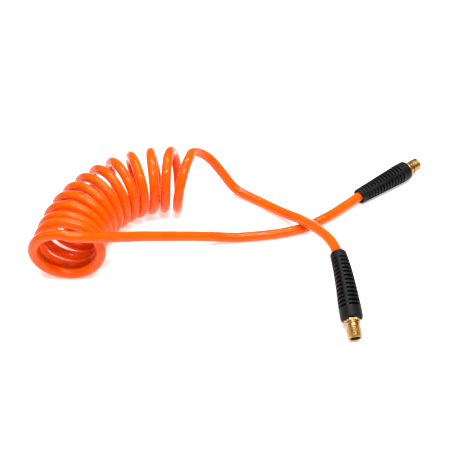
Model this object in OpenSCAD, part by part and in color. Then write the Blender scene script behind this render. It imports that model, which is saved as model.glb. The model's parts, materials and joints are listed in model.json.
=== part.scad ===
// Coiled air hose: a polyurethane recoil hose with a bend guard and a swivelling
// male pipe-thread nipple on each end, laid on a bench with its coil bent through
// about a quarter turn. End a lies in front and end b at the back right.

/* [Hose] */
// Outside diameter of the hose
hose_d = 10; // [9:0.5:10.5]
// Inside diameter of the hose
hose_bore_d = 6.5; // [5:0.5:7]

/* [Coil] */
// Number of turns in the coil
coil_turns = 12; // [8:1:12]
// Radius of one turn, to the middle of the hose
turn_r = 29.5; // [28:0.5:30]
// Spacing of the looser turns on end a's side, along the inside of the coil's bend
loose_pitch = 11; // [10.8:0.1:11.4]
// Spacing of the other turns
tight_pitch = 10.4; // [10.3:0.1:10.8]
// Radius of the coil's sharper bend on end a's side, to the middle of the coil
sharp_bend_r = 81; // [80:1:84]
// Angle of the sharper bend
sharp_bend = 52; // [48:1:54]
// Radius of the wider bend that follows it
wide_bend_r = 110; // [105:1:115]
// Angle of the wider bend
wide_bend = 46; // [40:1:46]

/* [Bend guards] */
// Length of a bend guard
guard_l = 69; // [66:1:72]
// Outside diameter of a guard at its small end, where the hose enters
guard_small_d = 16; // [15.5:0.5:18]
// Outside diameter of a guard at its mouth
guard_mouth_d = 21; // [20:0.5:23]
// Bend of the guard on end a
guard_bend = 14; // [0:1:20]

/* [Swivel nipples] */
// Distance across the flats of the hexagon
hex_flats = 14.3; // [14:0.1:14.8]
// Length of the hexagon
hex_l = 8; // [7:0.5:9]
// Outside diameter of the male thread, a 1/4 inch taper pipe thread at its tip
thread_d = 13.2; // [13:0.1:13.7]
// Length of the male thread
thread_l = 10; // [9:0.5:12]
// Diameter of the bore through the nipple
nipple_bore_d = 8; // [7.5:0.1:8.5]

/* [Hidden] */
$fn = 64;

// Fits
running = 0.05;          // radial clearance of the swivel's bearing
clear = 0.35;            // gap beside a part that turns or slides past
slip = 0.15;             // gap round a part that is pushed in

// Hose and coil
hose_r = hose_d / 2;
coil_r = turn_r + hose_r;
coil_centre = [-70, -15];                        // centre of the sharper bend
coil_start = 78;                                 // where that bend starts, from +X
wide_start = coil_start + sharp_bend;
wide_centre = coil_centre
    - (wide_bend_r - sharp_bend_r) * [cos(wide_start), sin(wide_start)];
sharp_l = (sharp_bend_r - turn_r) * sharp_bend * PI / 180;
wide_l = (wide_bend_r - turn_r) * wide_bend * PI / 180;
loose_turns = 6.5;
coil_l = loose_turns * loose_pitch + (coil_turns - loose_turns) * tight_pitch;
first_turn_opens = 4;                            // how far the first half turn opens
last_turn_opens = 8;
last_turn_wider = 2;

// Each end: centre of the guard's mouth, heading, rise, how far the hexagon's back
// sits inside the mouth, and the guard's bend and the way it bends
end_a = [[102.73, -109.84, 13.25], -83, -22, 5, guard_bend, -12];
end_b = [[182.5, 110.5, 11], 37, 2.2, 6, 0, 0];

// The hose's route from the coil to each guard, lying on the bench at height hose_r
route_a = [
    [-47.5, 72.5, 62.5], [-44, 80.5, 58.5], [-39, 86.5, 53], [-33, 90, 46.5],
    [-26.5, 91, 39], [-20.5, 90, 31], [-14, 88, 22.5], [-7, 84, 14],
    [1, 79.5, 8], [13, 72.5, 5.5], [26, 63.5, 5], [40, 50.5, 7],
    [53, 37, 11], [62, 27, 15], [68, 18, 18.5], [74, 8, 22.5],
    [80, -5, 27.5], [86, -19, 32], [90.5, -32, 34.5]
];
route_b = [
    [-155, -56.5, 67], [-145, -54.5, 64.5], [-135, -50.8, 60.5], [-125, -45.8, 56],
    [-115, -40.2, 51.5], [-105, -34.5, 46.5], [-95, -29, 42], [-85, -23.5, 37],
    [-75, -18, 32], [-65, -12.5, 27], [-55, -7, 22], [-45, -2, 17.5],
    [-35, 2, 13.5], [-24, 5.5, 10], [-12, 8, 7], [2, 10, 5],
    [16, 11.5, 5], [30, 13.5, 5], [43, 16, 5], [55, 19.5, 5],
    [67, 24, 5], [78, 30.5, 5], [89, 38, 5.5], [100, 46, 6], [114.5, 58.4, 7]
];
tube_sides = 12;
guard_sides = 32;

// Swivel, measured along the fitting's axis from the hexagon's back face
barb_l = 18;
barbs = 3;
barb_root_r = hose_bore_d / 2 - 0.15;
barb_crest_r = hose_bore_d / 2 + 0.4;
collar_r = 6.2;
collar_l = 1.5;
collar_z = -3.5;                                 // the collar's back face
barb_z = collar_z - barb_l;
shank_r = 4.5;
stem_bore_r = 2;
pocket_r = 6;                                    // recess in the back of the hexagon
pocket_l = 4.5;
flange_r = pocket_r - 0.2;
flange_z = 2.1;
flange_l = 1.5;
washer_l = 0.8;
spigot_r = nipple_bore_d / 2 - running;
spigot_end = 12;
o_ring_r = 0.48;
o_ring_z = 7.7;
groove_l = 1.4;
groove_r = spigot_r - 2 * o_ring_r - 0.03;
ring_z = 0.85;
ring_l = 1;
ring_groove_r = 6.5;
neck_r = 6.2;
neck_l = 4;
relief_l = 1;
thread_z = hex_l + neck_l + relief_l;
nipple_l = thread_z + thread_l;
tip_chamfer = 0.8;

// Guard and ferrule
guard_bore_r = 6.45;
guard_mouth_r = hex_flats / sqrt(3) + clear;
guard_step_z = collar_z + 1;                     // where the mouth's bore steps down
guard_collar_l = 12;
guard_stiff_z = barb_z - 3;                      // the guard bends behind the barb
rim = 1.5;
ferrule_r = guard_bore_r - slip;
ferrule_l = 16;
hose_end_r = hose_r + 0.2;
ferrule_bore_r = hose_end_r + running;

// ---- geometry helpers ----

function unit(v) = v / norm(v);

// A point on the coil, k turns from end a's side, starting at the top of a turn
function along_coil(k) =
    min(k, loose_turns) * loose_pitch + max(k - loose_turns, 0) * tight_pitch
    + last_turn_opens * smooth((k - coil_turns + 0.5) * 2)
    - first_turn_opens * smooth((0.5 - k) * 2);
function smooth(u) = let (w = max(0, min(1, u))) w * w * (3 - 2 * w);
function coil_axis(s) =
    let (
        sharp = max(0, min(sharp_l, s)),
        wide = max(0, min(wide_l, s - sharp)),
        a = coil_start + sharp / sharp_l * sharp_bend + wide / wide_l * wide_bend,
        past = s - sharp - wide,
        out = [cos(a), sin(a)],
        ahead = [-sin(a), cos(a)],
        centre = wide > 0 ? wide_centre : coil_centre,
        r = wide > 0 ? wide_bend_r : sharp_bend_r
    ) [centre + r * out + past * ahead, out];
function turn_point(k) =
    let (
        axis = coil_axis(along_coil(k)),
        r = turn_r + last_turn_wider * smooth(k - coil_turns + 1.5),
        flat = axis[0] - r * sin(360 * k) * axis[1]
    ) [flat[0], flat[1], hose_r + r * (1 + cos(360 * k))];

// The directions of an end's own axes, and a point of the end in the part's frame
function end_x(end) = [
    sin(end[2]) * cos(end[1]), sin(end[2]) * sin(end[1]), -cos(end[2])
];
function end_y(end) = [-sin(end[1]), cos(end[1]), 0];
function end_z(end) = [
    cos(end[2]) * cos(end[1]), cos(end[2]) * sin(end[1]), sin(end[2])
];
function place(end, p) =
    end[0] + p[0] * end_x(end) + p[1] * end_y(end) + (p[2] - end[3]) * end_z(end);

// A point on the guard's centreline, z along the fitting's axis
function guard_axis(end, z) =
    let (
        bent_l = guard_l - end[3] + guard_stiff_z,
        r = end[4] > 0 ? bent_l / (end[4] * PI / 180) : 0,
        a = z < guard_stiff_z ? (guard_stiff_z - z) / bent_l * end[4] : 0,
        side = r * (1 - cos(a)),
        back = end[4] > 0 && z < guard_stiff_z ? guard_stiff_z - r * sin(a) : z
    ) [side * cos(end[5]), side * sin(end[5]), back];
function guard_outer_r(end, z) =
    let (
        start = end[3] - guard_collar_l,
        small_z = end[3] - guard_l,
        taper = max(0, min(1, (start - z) / (start - small_z)))
    ) guard_mouth_d / 2 - taper * (guard_mouth_d - guard_small_d) / 2;

// Sweep of round rings along a path, with the ring's frame carried from ring to ring
function tangent(path, i) =
    unit(path[min(i + 1, len(path) - 1)] - path[max(i - 1, 0)]);
function carried(path, before, i = 0) =
    i == len(path) ? [] :
    let (t = tangent(path, i), n = unit(before - (before * t) * t))
    concat([n], carried(path, n, i + 1));
function ring(centre, r, n, t, sides) =
    [for (j = [0:sides - 1]) centre + r * (cos(360 * j / sides) * n
        + sin(360 * j / sides) * cross(t, n))];

module swept(path, radii, sides) {
    first = tangent(path, 0);
    across = abs(first[2]) < 0.9 ? [0, 0, 1] : [1, 0, 0];
    normals = carried(path, cross(first, across));
    points = [for (i = [0:len(path) - 1])
        each ring(path[i], radii[i], normals[i], tangent(path, i), sides)];
    last = (len(path) - 1) * sides;
    faces = concat(
        [[for (j = [0:sides - 1]) j]],
        [[for (j = [sides - 1:-1:0]) last + j]],
        [for (i = [0:len(path) - 2], j = [0:sides - 1])
            let (a = i * sides, b = a + sides, k = (j + 1) % sides)
            [a + j, b + j, b + k, a + k]]
    );
    polyhedron(points, faces, convexity = 6);
}

module at_end(end) {
    translate(place(end, [0, 0, 0])) rotate([0, 90 - end[2], end[1]]) children();
}

// ---- hose ----

module hose_coil() {
    start_gap = 2;                               // degrees, clear of the lead on end a
    end_gap = tight_pitch / 2 + hose_r - 1;      // bites into the lead on end b
    straight_b = coil_l - sharp_l - wide_l - end_gap;
    inset = 0.05;                                // each part joins inside the last one
    overlap = 1;
    color("orangered") {
        translate([coil_centre[0], coil_centre[1], 0])
            rotate(coil_start + start_gap) rotate_extrude(angle = sharp_bend - start_gap)
            translate([sharp_bend_r, coil_r]) circle(coil_r);
        translate([wide_centre[0], wide_centre[1], 0]) {
            rotate(wide_start - overlap) rotate_extrude(angle = wide_bend + overlap)
                translate([wide_bend_r, coil_r]) circle(coil_r - inset);
            rotate(wide_start + wide_bend) translate([wide_bend_r, -overlap, coil_r])
                rotate([-90, 0, 0]) cylinder(r = coil_r - 2 * inset, h = straight_b + overlap);
        }
    }
}

// The hose's route through a guard, straight where it meets the barb
function guard_route(end) =
    let (small_z = end[3] - guard_l, steps = 4)
    concat(
        [for (i = [0:steps])
            place(end, guard_axis(end, small_z + i / steps * (guard_stiff_z - small_z)))],
        [place(end, [0, 0, barb_z])]
    );

module lead(path) {
    color("orangered") swept(path, [for (p = path) hose_r], tube_sides);
}

module hose_lead_a() {
    lead(concat([turn_point(0)], route_a, guard_route(end_a)));
}

module hose_lead_b() {
    last_half_turn = [for (i = [0:6]) turn_point(coil_turns - 0.5 + i / 12)];
    lead(concat(last_half_turn, route_b, guard_route(end_b)));
}

// The hose's end, stretched over the barb
module hose_end(end) {
    l = barb_l - 0.1;
    color("orangered") at_end(end) translate([0, 0, barb_z]) difference() {
        cylinder(r = hose_end_r, h = l);
        translate([0, 0, -1]) cylinder(r = barb_crest_r + running, h = l + 2);
    }
}

// ---- bend guard and crimped ferrule ----

module guard(end) {
    small_z = end[3] - guard_l;
    taper_z = end[3] - guard_collar_l;
    steps = 9;
    outer_z = concat(
        [small_z, small_z + 1],
        [for (i = [1:steps]) small_z + 1 + i / steps * (taper_z - small_z - 1)],
        [end[3] - rim, end[3]]
    );
    outer_r = [for (z = outer_z) guard_outer_r(end, z)
        - (z == small_z ? 0.8 : z == end[3] ? 0.9 : 0)];
    bore_z = concat(
        [small_z - 1],
        [for (i = [0:steps]) small_z + i / steps * (guard_stiff_z - small_z)],
        [guard_step_z + 0.5]
    );
    color("dimgray") at_end(end) difference() {
        swept([for (z = outer_z) guard_axis(end, z)], outer_r, guard_sides);
        swept([for (z = bore_z) guard_axis(end, z)], [for (z = bore_z) guard_bore_r],
            guard_sides);
        translate([0, 0, guard_step_z])
            cylinder(r = guard_mouth_r, h = end[3] - guard_step_z + 1);
    }
}

module ferrule(end) {
    crimp_pitch = ferrule_l / 4;
    color("goldenrod") at_end(end) translate([0, 0, collar_z - 0.2 - ferrule_l])
        difference() {
            cylinder(r = ferrule_r, h = ferrule_l);
            translate([0, 0, -1]) cylinder(r = ferrule_bore_r, h = ferrule_l + 2);
            for (i = [1:3]) translate([0, 0, i * crimp_pitch])
                rotate_extrude() translate([ferrule_r + 0.5, 0]) circle(r = 1);
        }
}

// ---- swivel ----

module stem(end) {
    pitch = barb_l / barbs;
    outline = concat(
        [[stem_bore_r, barb_z], [barb_root_r - 0.3, barb_z]],
        [for (i = [0:barbs - 1]) each [
            [barb_crest_r, barb_z + (i + 0.6) * pitch],
            [barb_root_r, barb_z + (i + 0.7) * pitch],
            [barb_root_r, barb_z + (i + 1) * pitch]
        ]],
        [
            [collar_r, collar_z], [collar_r, collar_z + collar_l],
            [shank_r, collar_z + collar_l], [shank_r, flange_z],
            [flange_r, flange_z], [flange_r, flange_z + flange_l],
            [spigot_r, flange_z + flange_l], [spigot_r, o_ring_z - groove_l / 2],
            [groove_r, o_ring_z - groove_l / 2], [groove_r, o_ring_z + groove_l / 2],
            [spigot_r, o_ring_z + groove_l / 2], [spigot_r, spigot_end - 0.5],
            [spigot_r - 0.5, spigot_end], [stem_bore_r, spigot_end]
        ]
    );
    color("goldenrod") at_end(end) rotate_extrude() polygon(outline);
}

module o_ring(end) {
    color("black") at_end(end) translate([0, 0, o_ring_z])
        rotate_extrude() translate([groove_r + 0.01 + o_ring_r, 0]) circle(r = o_ring_r);
}

module thrust_washer(end) {
    z = flange_z + flange_l + 0.02;
    color("ivory") at_end(end) translate([0, 0, z]) difference() {
        cylinder(r = flange_r, h = washer_l);
        translate([0, 0, -1]) cylinder(r = spigot_r + slip, h = washer_l + 2);
    }
}

module retaining_ring(end) {
    gap = 50;
    color("silver") at_end(end) translate([0, 0, ring_z])
        rotate_extrude(angle = 360 - gap)
        translate([shank_r + clear, 0]) square([ring_groove_r - 0.05 - shank_r - clear, ring_l]);
}

module nipple(end) {
    bore_r = nipple_bore_d / 2;
    hex_r = hex_flats / sqrt(3);
    thread_r = thread_d / 2;
    ring_gap = 0.05;
    color("goldenrod") at_end(end) difference() {
        union() {
            intersection() {
                rotate(30) cylinder(r = hex_r, h = hex_l, $fn = 6);
                rotate_extrude() polygon([
                    [0, 0], [hex_r - 1, 0], [hex_r, 0.6], [hex_r, hex_l - 0.6],
                    [hex_r - 1, hex_l], [0, hex_l]
                ]);
            }
            rotate_extrude() polygon([
                [0, hex_l - 1], [neck_r, hex_l - 1], [neck_r, hex_l + neck_l],
                [neck_r - 0.7, hex_l + neck_l + 0.3], [neck_r - 0.7, thread_z - 0.3],
                [thread_r, thread_z + 0.4], [thread_r, nipple_l - tip_chamfer],
                [thread_r - tip_chamfer, nipple_l], [0, nipple_l]
            ]);
        }
        translate([0, 0, -1]) cylinder(r = pocket_r, h = pocket_l + 1);
        translate([0, 0, ring_z - ring_gap])
            cylinder(r = ring_groove_r, h = ring_l + 2 * ring_gap);
        cylinder(r = bore_r, h = nipple_l + 1);
        translate([0, 0, nipple_l - 0.5]) cylinder(r1 = bore_r, r2 = bore_r + 0.6, h = 0.6);
    }
}

// ---- nodes ----

hose_coil();
hose_lead_a();
hose_lead_b();
hose_end(end_a);  // hose_end_a
hose_end(end_b);  // hose_end_b
guard(end_a);  // guard_a
guard(end_b);  // guard_b
ferrule(end_a);  // ferrule_a
ferrule(end_b);  // ferrule_b
stem(end_a);  // stem_a
stem(end_b);  // stem_b
o_ring(end_a);  // o_ring_a
o_ring(end_b);  // o_ring_b
thrust_washer(end_a);  // thrust_washer_a
thrust_washer(end_b);  // thrust_washer_b
nipple(end_a);  // nipple_a
nipple(end_b);  // nipple_b
retaining_ring(end_a);  // retaining_ring_a
retaining_ring(end_b);  // retaining_ring_b
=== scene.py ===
import json
import math

import bmesh
import bpy
import numpy as np
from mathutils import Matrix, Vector


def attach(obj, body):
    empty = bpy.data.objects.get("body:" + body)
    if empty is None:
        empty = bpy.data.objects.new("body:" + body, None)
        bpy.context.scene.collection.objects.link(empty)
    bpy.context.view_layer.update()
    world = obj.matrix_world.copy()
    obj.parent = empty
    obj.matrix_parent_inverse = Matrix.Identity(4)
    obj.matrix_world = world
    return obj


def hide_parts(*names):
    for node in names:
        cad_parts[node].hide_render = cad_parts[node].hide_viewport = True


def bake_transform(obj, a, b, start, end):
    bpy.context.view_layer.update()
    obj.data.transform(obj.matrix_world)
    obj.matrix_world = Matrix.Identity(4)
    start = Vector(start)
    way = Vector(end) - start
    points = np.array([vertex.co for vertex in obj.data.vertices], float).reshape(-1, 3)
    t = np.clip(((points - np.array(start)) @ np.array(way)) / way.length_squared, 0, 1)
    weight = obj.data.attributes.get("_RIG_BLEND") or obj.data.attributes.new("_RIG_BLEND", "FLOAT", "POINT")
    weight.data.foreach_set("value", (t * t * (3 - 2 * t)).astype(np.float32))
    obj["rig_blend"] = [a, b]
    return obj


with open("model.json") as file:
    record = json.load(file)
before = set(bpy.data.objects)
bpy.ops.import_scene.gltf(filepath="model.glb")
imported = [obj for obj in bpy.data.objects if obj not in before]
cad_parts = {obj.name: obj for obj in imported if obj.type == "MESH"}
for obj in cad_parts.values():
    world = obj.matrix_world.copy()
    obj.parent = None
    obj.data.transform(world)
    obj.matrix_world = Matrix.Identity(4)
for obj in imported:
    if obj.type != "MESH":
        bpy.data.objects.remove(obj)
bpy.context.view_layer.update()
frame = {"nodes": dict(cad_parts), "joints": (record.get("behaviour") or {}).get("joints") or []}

# The looks of the coiled air hose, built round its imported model: the wound hose as two tubes, the
# slotted bend guards, the threaded nipples, the materials, a pale floor and soft light.

MM = 0.001

# Camera: looks along +Y and down at the hose
CAMERA_TARGET = Vector((-0.013, 0.034, 0))
CAMERA_ELEVATION = math.radians(42)
CAMERA_DISTANCE = 1.0
CAMERA_LENS = 77.7
CAMERA_SENSOR = 36

# Hose and coil, as in the CAD model
HOSE_R = 5 * MM
HOSE_D = 2 * HOSE_R
COIL_TURNS = 12
TURN_R = 29.5 * MM
LOOSE_PITCH = 11.0 * MM             # of the turns up to LOOSE_TURNS, along the inside of the bend
TIGHT_PITCH = 10.4 * MM
LOOSE_TURNS = 6.5
COIL_CENTRE = Vector((-70 * MM, -15 * MM, 0))
COIL_START = math.radians(78)
SHARP_BEND_R = 81 * MM              # the bend is sharper on end a's side
SHARP_BEND = math.radians(52)
WIDE_BEND_R = 110 * MM
WIDE_BEND = math.radians(46)
FIRST_TURN_OPENS = 4 * MM
LAST_TURN_OPENS = 8 * MM
LAST_TURN_WIDER = 2 * MM
SEAM_TURN = COIL_TURNS - 0.5        # where the coil's tube meets lead b's, under the coil
STRETCH_HEADING = math.radians(42)  # the level direction along which the coil's turns open

# The hose's route from the coil to each guard, the same points as in part.scad. They follow places
# traced in the photo, which a script put into the frame at guessed heights, rounded and smoothed.
ROUTE_A = [
    (-0.0475, 0.0725, 0.0625), (-0.044, 0.0805, 0.0585), (-0.039, 0.0865, 0.053),
    (-0.033, 0.09, 0.0465), (-0.0265, 0.091, 0.039), (-0.0205, 0.09, 0.031),
    (-0.014, 0.088, 0.0225), (-0.007, 0.084, 0.014), (0.001, 0.0795, 0.008),
    (0.013, 0.0725, 0.0055), (0.026, 0.0635, 0.005), (0.04, 0.0505, 0.007),
    (0.053, 0.037, 0.011), (0.062, 0.027, 0.015), (0.068, 0.018, 0.0185),
    (0.074, 0.008, 0.0225), (0.08, -0.005, 0.0275), (0.086, -0.019, 0.032),
    (0.0905, -0.032, 0.0345),
]
ROUTE_B = [
    (-0.155, -0.0565, 0.067), (-0.145, -0.0545, 0.0645), (-0.135, -0.0508, 0.0605),
    (-0.125, -0.0458, 0.056), (-0.115, -0.0402, 0.0515), (-0.105, -0.0345, 0.0465),
    (-0.095, -0.029, 0.042), (-0.085, -0.0235, 0.037), (-0.075, -0.018, 0.032),
    (-0.065, -0.0125, 0.027), (-0.055, -0.007, 0.022), (-0.045, -0.002, 0.0175),
    (-0.035, 0.002, 0.0135), (-0.024, 0.0055, 0.01), (-0.012, 0.008, 0.007),
    (0.002, 0.01, 0.005), (0.016, 0.0115, 0.005), (0.03, 0.0135, 0.005),
    (0.043, 0.016, 0.005), (0.055, 0.0195, 0.005), (0.067, 0.024, 0.005),
    (0.078, 0.0305, 0.005), (0.089, 0.038, 0.0055), (0.1, 0.046, 0.006),
    (0.1145, 0.0584, 0.007),
]

# Swivel fitting, measured along its axis from the hexagon's back face
COLLAR_Z = -3.5 * MM
BARB_Z = COLLAR_Z - 18 * MM
BARB_HOLE_R = 3.7 * MM
BARB_SWELL = 0.2 * MM               # how much the hose widens over the barb
GUARD_L = 69 * MM
GUARD_STIFF_Z = BARB_Z - 3 * MM     # the guard bends only behind this


# ---- helpers ----

def smooth(u):
    w = max(0.0, min(1.0, u))
    return w * w * (3 - 2 * w)


def add_object(name, mesh, sharp=math.radians(35)):
    mesh.shade_smooth()
    mesh.set_sharp_from_angle(angle=sharp)
    obj = bpy.data.objects.new(name, mesh)
    bpy.context.scene.collection.objects.link(obj)
    return obj


def welded_mesh(name, points, faces, point_values=None):
    """A mesh whose patches were made apart and share their border points."""
    mesh = bpy.data.meshes.new(name)
    mesh.from_pydata([tuple(p) for p in points], [], faces)
    if point_values:
        attribute = mesh.attributes.new(point_values[0], "FLOAT", "POINT")
        attribute.data.foreach_set("value", point_values[1])
    bm = bmesh.new()
    bm.from_mesh(mesh)
    bmesh.ops.remove_doubles(bm, verts=bm.verts, dist=0.002 * MM)
    bmesh.ops.recalc_face_normals(bm, faces=bm.faces)
    bm.to_mesh(mesh)
    bm.free()
    return mesh


def quads_between(first, second, count):
    """Quads joining two closed rings of count points, which start at these indices."""
    return [
        (first + j, first + (j + 1) % count, second + (j + 1) % count, second + j)
        for j in range(count)
    ]


# ---- the two ends ----

class End:
    """An end's fitting and guard. Its own axes start at the hexagon's back face, z outward."""

    def __init__(self, letter, body, seat, bend, bend_roll, rib_turn):
        joint = next(j for j in frame["joints"] if j["name"] == f"swivel_{letter}_turn")
        self.letter = letter
        self.body = body
        self.swivel = f"swivel_{letter}"
        self.origin = Vector(joint["pos_m"])
        self.z = Vector(joint["axis"]).normalized()
        self.y = Vector((0, 0, 1)).cross(self.z).normalized()
        self.x = self.y.cross(self.z)
        self.seat = seat
        self.bend = bend
        self.bend_roll = bend_roll
        self.rib_turn = rib_turn

    def node(self, name):
        return f"{name}_{self.letter}"

    def place(self, radius, angle, z):
        across = math.cos(angle) * self.x + math.sin(angle) * self.y
        return self.origin + radius * across + z * self.z

    def guard_place(self, radius, angle, along):
        """A point of the guard, along is measured from its small end on its bent centreline."""
        z = self.seat - GUARD_L + along
        side = math.cos(self.bend_roll) * self.x + math.sin(self.bend_roll) * self.y
        square = self.z.cross(side)
        centre, out = self.origin + z * self.z, side
        if self.bend and z < GUARD_STIFF_Z:
            bent_l = GUARD_L - self.seat + GUARD_STIFF_Z
            turn = (GUARD_STIFF_Z - z) / bent_l * self.bend
            r = bent_l / self.bend
            centre = (self.origin + r * (1 - math.cos(turn)) * side
                      + (GUARD_STIFF_Z - r * math.sin(turn)) * self.z)
            out = math.cos(turn) * side + math.sin(turn) * self.z
        angle = angle - self.bend_roll
        return centre + radius * (math.cos(angle) * out + math.sin(angle) * square)


END_A = End("a", "lead_a", seat=5 * MM, bend=math.radians(14), bend_roll=math.radians(-12),
            rib_turn=math.radians(22))
END_B = End("b", "coil", seat=6 * MM, bend=0.0, bend_roll=0.0, rib_turn=math.radians(37))
ENDS = (END_A, END_B)


# ---- camera ----

def make_camera():
    data = bpy.data.cameras.new("camera")
    data.lens = CAMERA_LENS
    data.sensor_width = CAMERA_SENSOR
    camera = bpy.data.objects.new("camera", data)
    bpy.context.scene.collection.objects.link(camera)
    back = Vector((0, -math.cos(CAMERA_ELEVATION), math.sin(CAMERA_ELEVATION)))
    camera.location = CAMERA_TARGET + CAMERA_DISTANCE * back
    camera.rotation_euler = (-back).to_track_quat("-Z", "Y").to_euler()
    bpy.context.scene.camera = camera


# ---- hose ----

def coil_axis(s):
    """A point on the coil's own centreline and the direction away from its bend's centre."""
    sharp = max(0.0, min((SHARP_BEND_R - TURN_R) * SHARP_BEND, s))
    wide = max(0.0, min((WIDE_BEND_R - TURN_R) * WIDE_BEND, s - sharp))
    past = s - sharp - wide
    angle = COIL_START + sharp / (SHARP_BEND_R - TURN_R)
    out = Vector((math.cos(angle), math.sin(angle), 0))
    centre = COIL_CENTRE + SHARP_BEND_R * out
    if wide > 0:
        centre -= WIDE_BEND_R * out
        angle += wide / (WIDE_BEND_R - TURN_R)
        out = Vector((math.cos(angle), math.sin(angle), 0))
        centre += WIDE_BEND_R * out
    ahead = Vector((-math.sin(angle), math.cos(angle), 0))
    return centre + past * ahead, out


def turn_point(k):
    """A point on the hose k turns into the coil, from the top of the turn on end a's side."""
    s = min(k, LOOSE_TURNS) * LOOSE_PITCH + max(k - LOOSE_TURNS, 0) * TIGHT_PITCH
    s += LAST_TURN_OPENS * smooth((k - COIL_TURNS + 0.5) * 2)
    s -= FIRST_TURN_OPENS * smooth((0.5 - k) * 2)
    axis, out = coil_axis(s)
    turn_r = TURN_R + LAST_TURN_WIDER * smooth(k - COIL_TURNS + 1.5)
    angle = 2 * math.pi * k
    height = HOSE_R + turn_r * (1 + math.cos(angle))
    return axis - turn_r * math.sin(angle) * out + Vector((0, 0, height))


def fitting_route(end, steps=4):
    """The hose's way through the guard and over the barb, to the fitting's collar."""
    bent_l = GUARD_L - end.seat + GUARD_STIFF_Z
    through = [end.guard_place(0, 0, i / steps * bent_l) for i in range(steps + 1)]
    straight = [end.place(0, 0, z) for z in (BARB_Z, (BARB_Z + COLLAR_Z) / 2, COLLAR_Z)]
    return through + straight


def smooth_curve(points, spacing):
    """A smooth curve through the points, as points about this far apart."""
    points = [Vector(p) for p in points]
    before = 2 * points[0] - points[1]
    after = 2 * points[-1] - points[-2]
    padded = [before, *points, after]
    curve = []
    for i in range(1, len(padded) - 2):
        p0, p1, p2, p3 = padded[i - 1:i + 3]
        slope1, slope2 = (p2 - p0) / 2, (p3 - p1) / 2
        steps = max(1, round((p2 - p1).length / spacing))
        for j in range(steps):
            t = j / steps
            curve.append(
                (2 * t**3 - 3 * t**2 + 1) * p1 + (t**3 - 2 * t**2 + t) * slope1
                + (3 * t**2 - 2 * t**3) * p2 + (t**3 - t**2) * slope2)
    curve.append(points[-1])
    for p in curve:
        p.z = max(p.z, HOSE_R)
    return curve


def curve_length(curve):
    return sum((b - a).length for a, b in zip(curve, curve[1:]))


def ring_frames(curve):
    """Two directions across the curve at each of its points, carried along without twist."""
    frames = []
    across = None
    for i, p in enumerate(curve):
        ahead = (curve[min(i + 1, len(curve) - 1)] - curve[max(i - 1, 0)]).normalized()
        if across is None:
            across = ahead.orthogonal()
        across = (across - across.dot(ahead) * ahead).normalized()
        frames.append((across.copy(), ahead.cross(across)))
    return frames


HOSE_SIDES = 28
HOSE_SPACING = 2.2 * MM


def hose_mesh(name, curve):
    """A tube along the curve, whose end is stretched over the barb and open round it."""
    left = curve_length(curve)
    frames = ring_frames(curve)
    barb_l = COLLAR_Z - BARB_Z
    rings, back = [], []
    for i, p in enumerate(curve):
        if i:
            left -= (p - curve[i - 1]).length
        radius = HOSE_R + BARB_SWELL * smooth((barb_l - left) / (3 * MM))
        rings.append((p, frames[i], radius, left))
        if left < barb_l - 0.5 * MM:
            back.append((p, frames[i], BARB_HOLE_R, left))
    rings += back[::-1]
    points, along = [], []
    for centre, (u, v), radius, left in rings:
        for j in range(HOSE_SIDES):
            angle = 2 * math.pi * j / HOSE_SIDES
            points.append(tuple(centre + radius * (math.cos(angle) * u + math.sin(angle) * v)))
            along.append((math.cos(angle), math.sin(angle), left / HOSE_D))
    faces = [tuple(range(HOSE_SIDES))[::-1]]
    for i in range(len(rings) - 1):
        faces += quads_between(i * HOSE_SIDES, (i + 1) * HOSE_SIDES, HOSE_SIDES)
    last = (len(rings) - 1) * HOSE_SIDES
    faces.append(tuple(last + j for j in range(HOSE_SIDES)))
    mesh = bpy.data.meshes.new(name)
    mesh.from_pydata(points, [], faces)
    attribute = mesh.attributes.new("hose_place", "FLOAT_VECTOR", "POINT")
    attribute.data.foreach_set("vector", np.array(along, np.float32).ravel())
    return mesh


def blend_by_ring(obj, start, end):
    """Blends the hose from the coil to lead a, each ring as one, so that it isn't widened."""
    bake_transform(obj, "coil", "lead_a", start=start, end=end)
    weights = obj.data.attributes["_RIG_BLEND"].data
    values = np.zeros(len(weights), np.float32)
    weights.foreach_get("value", values)
    rings = values.reshape(-1, HOSE_SIDES)
    rings[:] = rings.mean(axis=1, keepdims=True)
    weights.foreach_set("value", values)


def make_hose():
    """The coil with lead a as one tube, and the coil's last half turn with lead b as another."""
    per_turn = 24
    coil = [turn_point(SEAM_TURN - i / per_turn) for i in range(round(SEAM_TURN * per_turn) + 1)]
    last_half = [turn_point(SEAM_TURN + i / per_turn) for i in range(per_turn // 2 + 1)]
    curve_a = smooth_curve(coil + ROUTE_A + fitting_route(END_A), HOSE_SPACING)
    curve_b = smooth_curve(last_half + ROUTE_B + fitting_route(END_B), HOSE_SPACING)
    seam, top = turn_point(SEAM_TURN), turn_point(0)
    pull = Vector((math.cos(STRETCH_HEADING), math.sin(STRETCH_HEADING), 0))

    hose_a = add_object("hose_coil_and_lead_a", hose_mesh("hose_coil_and_lead_a", curve_a))
    blend_by_ring(hose_a, seam, seam + (top - seam).dot(pull) * pull)
    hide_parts("hose_coil", "hose_lead_a", "hose_end_a")

    hose_b = add_object("hose_lead_b_tube", hose_mesh("hose_lead_b_tube", curve_b))
    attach(hose_b, "coil")
    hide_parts("hose_lead_b", "hose_end_b")
    return (hose_a, curve_a), (hose_b, curve_b)


def declare_hose(end):
    stem = frame["nodes"][end.node("stem")]
    tuple(turn_point(SEAM_TURN))


# ---- bend guards ----

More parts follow.
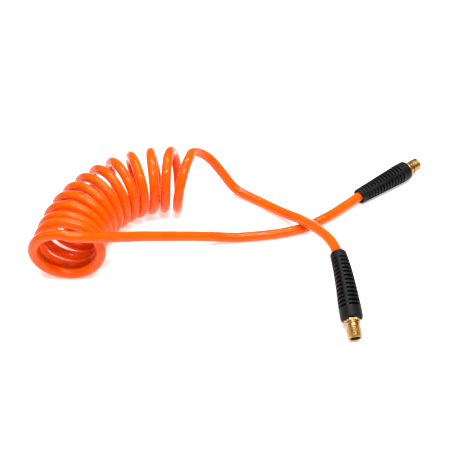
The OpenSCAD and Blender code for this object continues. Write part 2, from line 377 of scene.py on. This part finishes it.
GUARD_SMALL_R = 8 * MM
GUARD_MOUTH_R = 10.5 * MM
GUARD_COLLAR_L = 12 * MM
GUARD_FLAT = 0.03                   # how much closer in the guard is over a row of slots
GUARD_BEVEL = 1.0 * MM
GUARD_LIP = 0.4 * MM
GUARD_RIM = 2.6 * MM
GUARD_BORE_R = 6.45 * MM
MOUTH_BORE_R = 8.6 * MM
MOUTH_STEP_Z = -2.5 * MM
RIB_W = 2.7 * MM                    # the smooth ribs between the rows of slots
SLOT_ROWS = 4
SLOT_COUNT = 14                     # the first of each row is only a faint mark
SLOT_PITCH = 4.0 * MM
SLOT_FIRST = 4.5 * MM
SLOT_HALF_W = 0.92 * MM
SLOT_FLOOR_R = GUARD_BORE_R + 0.2 * MM
SLOT_EDGE = 0.22 * MM
FAINT_DEPTH = 0.3 * MM
FAINT_SHORTER = 0.25                # radians off each end of a faint mark
ROW_COLUMNS = 12
CAP_STEPS = 6


def guard_outer_r(along, angle_in_row):
    """The guard's radius: tapered, and a little flatter over each row of slots."""
    taper = max(0.0, min(1.0, 1 - along / (GUARD_L - GUARD_COLLAR_L)))
    r = GUARD_MOUTH_R - taper * (GUARD_MOUTH_R - GUARD_SMALL_R)
    ends = smooth(along / (2 * MM)) * smooth((GUARD_L - 3 * MM - along) / (4 * MM))
    return r * (1 - GUARD_FLAT * ends * math.cos(2 * angle_in_row) ** 2)


def border_loop(row_half, pitch_half):
    """The outline of one slot's cell, as (angle, along) pairs round it."""
    top = [(-row_half + 2 * row_half * j / ROW_COLUMNS, pitch_half)
           for j in range(ROW_COLUMNS + 1)]
    down = [(row_half, pitch_half * (1 - 2 * j / CAP_STEPS)) for j in range(1, CAP_STEPS)]
    return top + down + [(-a, -l) for a, l in top] + [(-a, -l) for a, l in down]


def slot_loop(half_angle, half_w, radius):
    """A slot's outline with round ends, with as many points as its cell's."""
    straight = half_angle - half_w / radius
    top = [(-straight + 2 * straight * j / ROW_COLUMNS, half_w) for j in range(ROW_COLUMNS + 1)]
    down = []
    for j in range(1, CAP_STEPS):
        turn = math.pi * j / CAP_STEPS
        down.append((straight + half_w / radius * math.sin(turn), half_w * math.cos(turn)))
    return top + down + [(-a, -l) for a, l in top] + [(-a, -l) for a, l in down]


def slot_cell(end, row, index):
    """One slot with the surface round it: its points, how deep each lies (0 to 1) and faces."""
    middle = SLOT_FIRST + index * SLOT_PITCH
    row_angle = end.rib_turn + (row + 0.5) * 2 * math.pi / SLOT_ROWS
    row_half = math.pi / SLOT_ROWS
    radius = guard_outer_r(middle, row_half)
    half_angle = row_half - RIB_W / 2 / radius
    faint = index == 0
    edge = SLOT_EDGE / 2 if faint else SLOT_EDGE
    depth = FAINT_DEPTH if faint else radius * (1 - GUARD_FLAT) - SLOT_FLOOR_R
    half_angle -= FAINT_SHORTER if faint else 0
    loops = [
        (border_loop(row_half, SLOT_PITCH / 2), 0),
        (slot_loop(half_angle + edge / radius, SLOT_HALF_W + edge, radius), 0),
        (slot_loop(half_angle + 0.3 * edge / radius, SLOT_HALF_W + 0.3 * edge, radius), 0.3 * edge),
        (slot_loop(half_angle, SLOT_HALF_W, radius), edge),
        (slot_loop(half_angle, SLOT_HALF_W, radius), depth - edge),
        (slot_loop(half_angle - edge / radius, SLOT_HALF_W - edge, radius), depth),
    ]
    points, depths = [], []
    for loop, sunk in loops:
        for angle, offset in loop:
            along = middle + offset
            r = guard_outer_r(along, angle) - sunk
            points.append(end.guard_place(r, row_angle + angle, along))
            # each point's depth in its slot, which the guard's material turns into painted shade
            depths.append(0 if faint else sunk / depth)
    count = len(loops[0][0])
    faces = []
    for i in range(len(loops) - 1):
        faces += quads_between(i * count, (i + 1) * count, count)
    floor = (len(loops) - 1) * count
    start = 1 - CAP_STEPS // 2
    for j in range(count // 2 - 1):
        strip = (start + j, start + 1 + j, start - 2 - j, start - 1 - j)
        faces.append(tuple(floor + v % count for v in strip))
    return points, depths, faces


def guard_rings(end):
    """The guard's smooth surfaces, as (radius, along) pairs: small end, bore and mouth.
    Where the radius is None the ring lies on the guard's outside."""
    first = SLOT_FIRST - SLOT_PITCH / 2
    last = first + SLOT_COUNT * SLOT_PITCH
    step = GUARD_L - end.seat + MOUTH_STEP_Z
    face_r = MOUTH_BORE_R + 0.35 * MM
    outside = [(None, first)]
    outside += [(GUARD_SMALL_R - GUARD_BEVEL * (1 - math.cos(t)), GUARD_BEVEL * (1 - math.sin(t)))
                for t in (math.radians(a) for a in (20, 45, 70, 90))]
    bore = [(GUARD_BORE_R + GUARD_LIP, 0), (GUARD_BORE_R + 0.3 * GUARD_LIP, 0.3 * GUARD_LIP)]
    bore.append((GUARD_BORE_R, GUARD_LIP))
    bore += [(GUARD_BORE_R, step * i / 8) for i in range(1, 9)]
    bore += [(MOUTH_BORE_R, step), (MOUTH_BORE_R, GUARD_L - GUARD_LIP)]
    bore.append((face_r, GUARD_L))
    rim_w = GUARD_MOUTH_R - face_r
    mouth = [(face_r + rim_w * math.sin(t), GUARD_L - GUARD_RIM * (1 - math.cos(t)))
             for t in (math.radians(a) for a in (15, 30, 45, 60, 75, 90))]
    mouth += [(None, GUARD_L - GUARD_RIM - 1.5 * MM), (None, last + 2 * MM), (None, last)]
    return outside + bore + mouth


def make_guard(end):
    points, depths, faces = [], [], []
    for row in range(SLOT_ROWS):
        for index in range(SLOT_COUNT):
            cell_points, cell_depths, cell_faces = slot_cell(end, row, index)
            faces += [tuple(len(points) + v for v in face) for face in cell_faces]
            points += cell_points
            depths += cell_depths
    columns = SLOT_ROWS * ROW_COLUMNS
    start = len(points)
    rings = guard_rings(end)
    for radius, along in rings:
        for j in range(columns):
            angle = 2 * math.pi * j / columns
            in_row = angle % (2 * math.pi / SLOT_ROWS) - math.pi / SLOT_ROWS
            r = guard_outer_r(along, in_row) if radius is None else radius
            points.append(end.guard_place(r, end.rib_turn + angle, along))
            depths.append(0)
    for i in range(len(rings) - 1):
        faces += quads_between(start + i * columns, start + (i + 1) * columns, columns)
    name = end.node("slotted_guard")
    guard = add_object(name, welded_mesh(name, points, faces, ("painted_shade_depth", depths)))
    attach(guard, end.body)
    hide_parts(end.node("guard"))
    return guard


# ---- nipples ----

HEX_APOTHEM = 7.15 * MM
THREAD_START = 13.4 * MM
THREAD_END = 22.3 * MM
THREAD_PITCH = 25.4 * MM / 18
THREAD_TIP_R = 6.55 * MM
THREAD_TAPER = 1 / 32
THREAD_DEPTH = 0.5 * MM
THREAD_ROOT = 0.1                   # of half the pitch, flat at the root
THREAD_FLANK = 0.76                 # of half the pitch, sloping; the rest is the crest
THREAD_STEPS = 84
NIPPLE_SIDES = 72

# The nipple's outline, in millimetres from the hexagon's back face
HEX_CORNER_R = 8.05
HEX_L = 7.2
BEAD_MIDDLE = 8.55
BEAD_HALF_L = 0.85
BEAD_R = 6.6
BEAD_RISE = 0.5
NECK_R = 6.15
RELIEF_R = 5.55                     # behind the thread
NIPPLE_L = 23.0
TIP_BORE_R = 4.8                    # wider than in the CAD model, as the photo shows it
TIP_BORE_END = 16.0
AIR_BORE_R = 4.0
SWIVEL_BORE_R = 6.0
SWIVEL_BORE_L = 4.5
RING_GROOVE_R = 6.5
RING_GROOVE_BACK = 0.8
RING_GROOVE_FRONT = 1.9


def hexagon_r(angle, limit):
    """The hexagon's radius at an angle, with its corners turned down to the limit."""
    third = math.pi / 3
    from_flat = (angle + third / 2) % third - third / 2
    return min(HEX_APOTHEM / math.cos(from_flat), limit)


def thread_r(angle, z):
    """The taper pipe thread's radius: a helix of blunt ridges."""
    crest = THREAD_TIP_R + (THREAD_END - z) * THREAD_TAPER
    phase = (z / THREAD_PITCH - angle / (2 * math.pi)) % 1
    ridge = max(0.0, min(1.0, (1 - abs(2 * phase - 1) - THREAD_ROOT) / THREAD_FLANK))
    return crest - THREAD_DEPTH * (1 - ridge)


def nipple_rings():
    """Rings of the nipple from its back, out along its outside and back through its bore."""
    def turned(radius):
        return lambda angle: radius * MM

    def hexagon(limit):
        return lambda angle: hexagon_r(angle, limit * MM)

    def threaded(z):
        return lambda angle: thread_r(angle, z)

    back_r = 6.9
    back = [(0.0, turned(back_r)), (0.0, hexagon(7.3)), (0.25, hexagon(7.75))]
    flats = [(z, hexagon(HEX_CORNER_R)) for z in (0.6, 2.5, 4.5, 6.3)]
    front = [(6.7, hexagon(7.85)), (7.0, hexagon(7.45)), (HEX_L, turned(7.1))]
    groove = [(7.3, turned(6.7)), (7.65, turned(6.6)), (7.7, turned(6.75))]
    bead = []
    for a in (20, 45, 70, 90, 110, 135, 160):
        t = math.radians(a)
        bead_r = BEAD_R + BEAD_RISE * math.sin(t)
        bead.append((BEAD_MIDDLE - BEAD_HALF_L * math.cos(t), turned(bead_r)))
    neck = [(9.45, turned(6.3)), (9.7, turned(6.17)), (10.1, turned(NECK_R)), (12.2, turned(NECK_R))]
    relief = [(12.4, turned(6.0)), (12.55, turned(5.7)), (12.8, turned(RELIEF_R)),
              (13.2, turned(RELIEF_R))]
    thread = []
    for i in range(THREAD_STEPS + 1):
        z = THREAD_START + (THREAD_END - THREAD_START) * i / THREAD_STEPS
        thread.append((z / MM, threaded(z)))
    tip = [(22.6, turned(6.05)), (22.9, turned(5.85)), (NIPPLE_L, turned(5.7)),
           (NIPPLE_L, turned(5.0)), (22.85, turned(4.85))]
    air_bore = [(TIP_BORE_END, turned(TIP_BORE_R)), (15.4, turned(AIR_BORE_R)),
                (SWIVEL_BORE_L, turned(AIR_BORE_R))]
    swivel_bore = [(SWIVEL_BORE_L, turned(SWIVEL_BORE_R)), (RING_GROOVE_FRONT, turned(SWIVEL_BORE_R)),
                   (RING_GROOVE_FRONT, turned(RING_GROOVE_R)),
                   (RING_GROOVE_BACK, turned(RING_GROOVE_R)),
                   (RING_GROOVE_BACK, turned(SWIVEL_BORE_R)), (0.0, turned(SWIVEL_BORE_R)),
                   (0.0, turned(back_r))]
    outside = back + flats + front + groove + bead + neck + relief + thread + tip
    return outside + air_bore + swivel_bore


def make_nipple(end):
    points, faces = [], []
    rings = nipple_rings()
    for z, radius in rings:
        for j in range(NIPPLE_SIDES):
            angle = 2 * math.pi * j / NIPPLE_SIDES
            points.append(end.place(radius(angle), angle, z * MM))
    for i in range(len(rings) - 1):
        faces += quads_between(i * NIPPLE_SIDES, (i + 1) * NIPPLE_SIDES, NIPPLE_SIDES)
    name = end.node("threaded_nipple")
    nipple = add_object(name, welded_mesh(name, points, faces), sharp=math.radians(28))
    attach(nipple, end.swivel)
    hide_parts(end.node("nipple"))
    return nipple


# ---- materials ----

class Nodes:
    """A node material being built: its tree, its shader and short ways to add nodes."""

    def __init__(self, name):
        self.material = bpy.data.materials.new(name)
        self.material.use_nodes = True
        self.tree = self.material.node_tree
        self.shader = self.tree.nodes["Principled BSDF"]

    def add(self, kind, **settings):
        node = self.tree.nodes.new(kind)
        for key, value in settings.items():
            setattr(node, key, value)
        return node

    def link(self, output, socket):
        self.tree.links.new(output, socket)

    def set(self, **values):
        for key, value in values.items():
            self.shader.inputs[key.replace("_", " ")].default_value = value

    def noise(self, vector, scale, detail=3.0):
        node = self.add("ShaderNodeTexNoise")
        node.inputs["Scale"].default_value = scale
        node.inputs["Detail"].default_value = detail
        self.link(vector, node.inputs["Vector"])
        return node.outputs["Fac"]

    def ramp(self, value, stops):
        """Maps a value to colours, or to greys where a stop is a single number."""
        node = self.add("ShaderNodeValToRGB")
        elements = node.color_ramp.elements
        while len(elements) < len(stops):
            elements.new(0.5)
        for element, (position, colour) in zip(elements, stops):
            element.position = position
            grey = isinstance(colour, (int, float))
            element.color = (colour, colour, colour, 1) if grey else (*colour, 1)
        self.link(value, node.inputs["Fac"])
        return node.outputs["Color"]

    def bump(self, height, strength, distance):
        node = self.add("ShaderNodeBump")
        node.inputs["Strength"].default_value = strength
        node.inputs["Distance"].default_value = distance
        self.link(height, node.inputs["Height"])
        self.link(node.outputs["Normal"], self.shader.inputs["Normal"])

    def mix(self, a, b, share):
        node = self.add("ShaderNodeMath", operation="MULTIPLY_ADD")
        node.inputs[1].default_value = share
        self.link(b, node.inputs[0])
        self.link(a, node.inputs[2])
        return node.outputs["Value"]

    def object_place(self):
        return self.add("ShaderNodeTexCoord").outputs["Object"]


def hose_material():
    """Glossy orange polyurethane with the faint lengthwise lines of extrusion."""
    n = Nodes("orange_polyurethane")
    place = n.object_place()
    along = n.add("ShaderNodeAttribute", attribute_name="hose_place").outputs["Vector"]
    cloud = n.noise(place, 55, 4)
    n.link(n.ramp(cloud, [(0.3, (0.86, 0.088, 0.001)), (0.7, (0.92, 0.115, 0.0015))]),
           n.shader.inputs["Base Color"])
    stretched = n.add("ShaderNodeMapping")
    stretched.inputs["Scale"].default_value = (9, 9, 0.25)
    n.link(along, stretched.inputs["Vector"])
    lines = n.noise(stretched.outputs["Vector"], 1.6, 2)
    grain = n.noise(place, 900, 2)
    n.link(n.ramp(n.mix(lines, cloud, 0.6), [(0.5, 0.07), (1.1, 0.15)]),
           n.shader.inputs["Roughness"])
    n.bump(n.mix(lines, grain, 0.1), 0.08, 0.05 * MM)
    n.set(IOR=1.45, Specular_IOR_Level=0.26)
    return n.material


def guard_material():
    """Black moulded plastic, slightly grained and rubbed, with painted shade darkening its slots towards
    their floors.
    """
    n = Nodes("black_moulded_plastic")
    place = n.object_place()
    cloud = n.noise(place, 90, 5)
    grain = n.noise(place, 2200, 3)
    rubbed = n.ramp(cloud, [(0.3, (0.005, 0.005, 0.0053)), (0.72, (0.010, 0.010, 0.0104))])
    # Painted shade: the slots' colour goes nearly to black towards their floors, by each point's depth.
    depth = n.add("ShaderNodeAttribute", attribute_name="painted_shade_depth").outputs["Fac"]
    painted_slot_shade = n.add("ShaderNodeMix", data_type="RGBA")
    n.link(depth, painted_slot_shade.inputs["Factor"])
    n.link(rubbed, painted_slot_shade.inputs["A"])
    painted_slot_shade.inputs["B"].default_value = (0.001, 0.001, 0.001, 1)
    n.link(painted_slot_shade.outputs["Result"], n.shader.inputs["Base Color"])
    n.link(n.ramp(n.mix(cloud, grain, 0.5), [(0.5, 0.42), (1.0, 0.62)]),
           n.shader.inputs["Roughness"])
    n.bump(n.mix(grain, cloud, 0.3), 0.3, 0.06 * MM)
    n.set(IOR=1.45, Specular_IOR_Level=0.18)
    return n.material


def brass_material(end):
    """Turned brass, with fine rings about the fitting's axis and slight tarnish."""
    n = Nodes(end.node("turned_brass"))
    place = n.object_place()
    project = n.add("ShaderNodeVectorMath", operation="DOT_PRODUCT")
    project.inputs[1].default_value = end.z
    n.link(place, project.inputs[0])
    spread = n.add("ShaderNodeMath", operation="MULTIPLY")
    spread.inputs[1].default_value = 2600
    n.link(project.outputs["Value"], spread.inputs[0])
    rings = n.add("ShaderNodeTexNoise", noise_dimensions="1D")
    rings.inputs["Scale"].default_value = 1
    rings.inputs["Detail"].default_value = 2
    n.link(spread.outputs["Value"], rings.inputs["W"])
    turning = rings.outputs["Fac"]
    tarnish = n.noise(place, 160, 3)
    n.link(n.ramp(tarnish, [(0.3, (0.40, 0.225, 0.075)), (0.5, (0.47, 0.28, 0.10)),
                            (0.7, (0.52, 0.325, 0.13))]),
           n.shader.inputs["Base Color"])
    n.link(n.ramp(n.mix(tarnish, turning, 0.6), [(0.5, 0.28), (1.1, 0.42)]),
           n.shader.inputs["Roughness"])
    n.bump(turning, 0.08, 0.03 * MM)
    n.set(Metallic=1.0)
    return n.material


def seal_material():
    n = Nodes("black_rubber_seal")
    place = n.object_place()
    n.link(n.ramp(n.noise(place, 700, 3), [(0.3, (0.012, 0.012, 0.012)), (0.7, (0.03, 0.03, 0.03))]),
           n.shader.inputs["Base Color"])
    n.bump(n.noise(place, 2500, 2), 0.2, 0.02 * MM)
    n.set(Roughness=0.5)
    return n.material


def washer_material():
    n = Nodes("ivory_washer_plastic")
    place = n.object_place()
    n.link(n.ramp(n.noise(place, 400, 3), [(0.3, (0.72, 0.68, 0.58)), (0.7, (0.82, 0.79, 0.70))]),
           n.shader.inputs["Base Color"])
    n.bump(n.noise(place, 1800, 2), 0.15, 0.02 * MM)
    n.set(Roughness=0.55)
    return n.material


def ring_material():
    n = Nodes("spring_steel")
    place = n.object_place()
    cloud = n.noise(place, 900, 3)
    n.link(n.ramp(cloud, [(0.3, (0.42, 0.42, 0.44)), (0.7, (0.6, 0.6, 0.62))]),
           n.shader.inputs["Base Color"])
    n.link(n.ramp(cloud, [(0.3, 0.25), (0.7, 0.4)]), n.shader.inputs["Roughness"])
    n.set(Metallic=1.0)
    return n.material


def dress(obj, material):
    obj.data.materials.clear()
    obj.data.materials.append(material)


def dress_cad_nodes():
    """The swivels' inner pieces keep their CAD shapes and get materials of their own."""
    seal, washer, ring = seal_material(), washer_material(), ring_material()
    for end in ENDS:
        brass = bpy.data.materials[end.node("turned_brass")]
        looks = {"ferrule": brass, "stem": brass, "o_ring": seal, "thrust_washer": washer,
                 "retaining_ring": ring}
        for name, material in looks.items():
            for material_slot in frame["nodes"][end.node(name)].material_slots:
                material_slot.material = material


# ---- floor and light ----

FLOOR_SIZE = 8.0
FLOOR_CELLS = 8


def make_floor():
    side = [FLOOR_SIZE * (i / FLOOR_CELLS - 0.5) for i in range(FLOOR_CELLS + 1)]
    points = [(x, y, 0.0) for y in side for x in side]
    row = FLOOR_CELLS + 1
    corners = [r * row + c for r in range(FLOOR_CELLS) for c in range(FLOOR_CELLS)]
    faces = [(v, v + 1, v + row + 1, v + row) for v in corners]
    mesh = bpy.data.meshes.new("floor")
    mesh.from_pydata(points, [], faces)
    floor = add_object("floor", mesh)
    floor.location.z = -0.2 * MM
    n = Nodes("white_floor")
    n.set(Base_Color=(0.9, 0.9, 0.9, 1), Roughness=0.7, Emission_Color=(1, 1, 1, 1),
          Emission_Strength=0.5)
    mesh.materials.append(n.material)


def make_light(name, place, size, power):
    data = bpy.data.lights.new(name, "AREA")
    data.shape = "RECTANGLE"
    data.size, data.size_y = size
    data.energy = power
    light = bpy.data.objects.new(name, data)
    bpy.context.scene.collection.objects.link(light)
    light.location = place
    light.rotation_euler = (-Vector(place)).to_track_quat("-Z", "Y").to_euler()


def make_world():
    world = bpy.data.worlds.new("studio")
    bpy.context.scene.world = world
    world.use_nodes = True
    tree = world.node_tree
    background = tree.nodes["Background"]
    place = tree.nodes.new("ShaderNodeTexCoord")
    split = tree.nodes.new("ShaderNodeSeparateXYZ")
    ramp = tree.nodes.new("ShaderNodeValToRGB")
    ramp.color_ramp.elements[0].position = 0.0
    ramp.color_ramp.elements[0].color = (0.8, 0.8, 0.8, 1)
    ramp.color_ramp.elements[1].position = 0.6
    ramp.color_ramp.elements[1].color = (1, 1, 1, 1)
    tree.links.new(place.outputs["Generated"], split.inputs["Vector"])
    tree.links.new(split.outputs["Z"], ramp.inputs["Fac"])
    tree.links.new(ramp.outputs["Color"], background.inputs["Color"])
    background.inputs["Strength"].default_value = 0.14


def light_scene():
    make_world()
    make_light("strip_behind", (0.1, 0.5, 1.2), (0.9, 0.04), 12)
    make_light("strip_in_front", (0.1, -0.42, 1.13), (0.9, 0.04), 11)
    make_light("overhead", (-0.3, 0.1, 1.6), (1.2, 0.9), 10)
    bpy.context.scene.view_settings.view_transform = "Standard"


# ---- the model ----

make_camera()
tubes = make_hose()
guards = [make_guard(end) for end in ENDS]
nipples = [make_nipple(end) for end in ENDS]

orange, black = hose_material(), guard_material()
for (tube, curve), end, guard, nipple, lay in zip(tubes, ENDS, guards, nipples, ("coiled", "loose")):
    declare_hose(end)
    dress(tube, orange)
    dress(guard, black)
    dress(nipple, brass_material(end))
dress_cad_nodes()
make_floor()
light_scene()
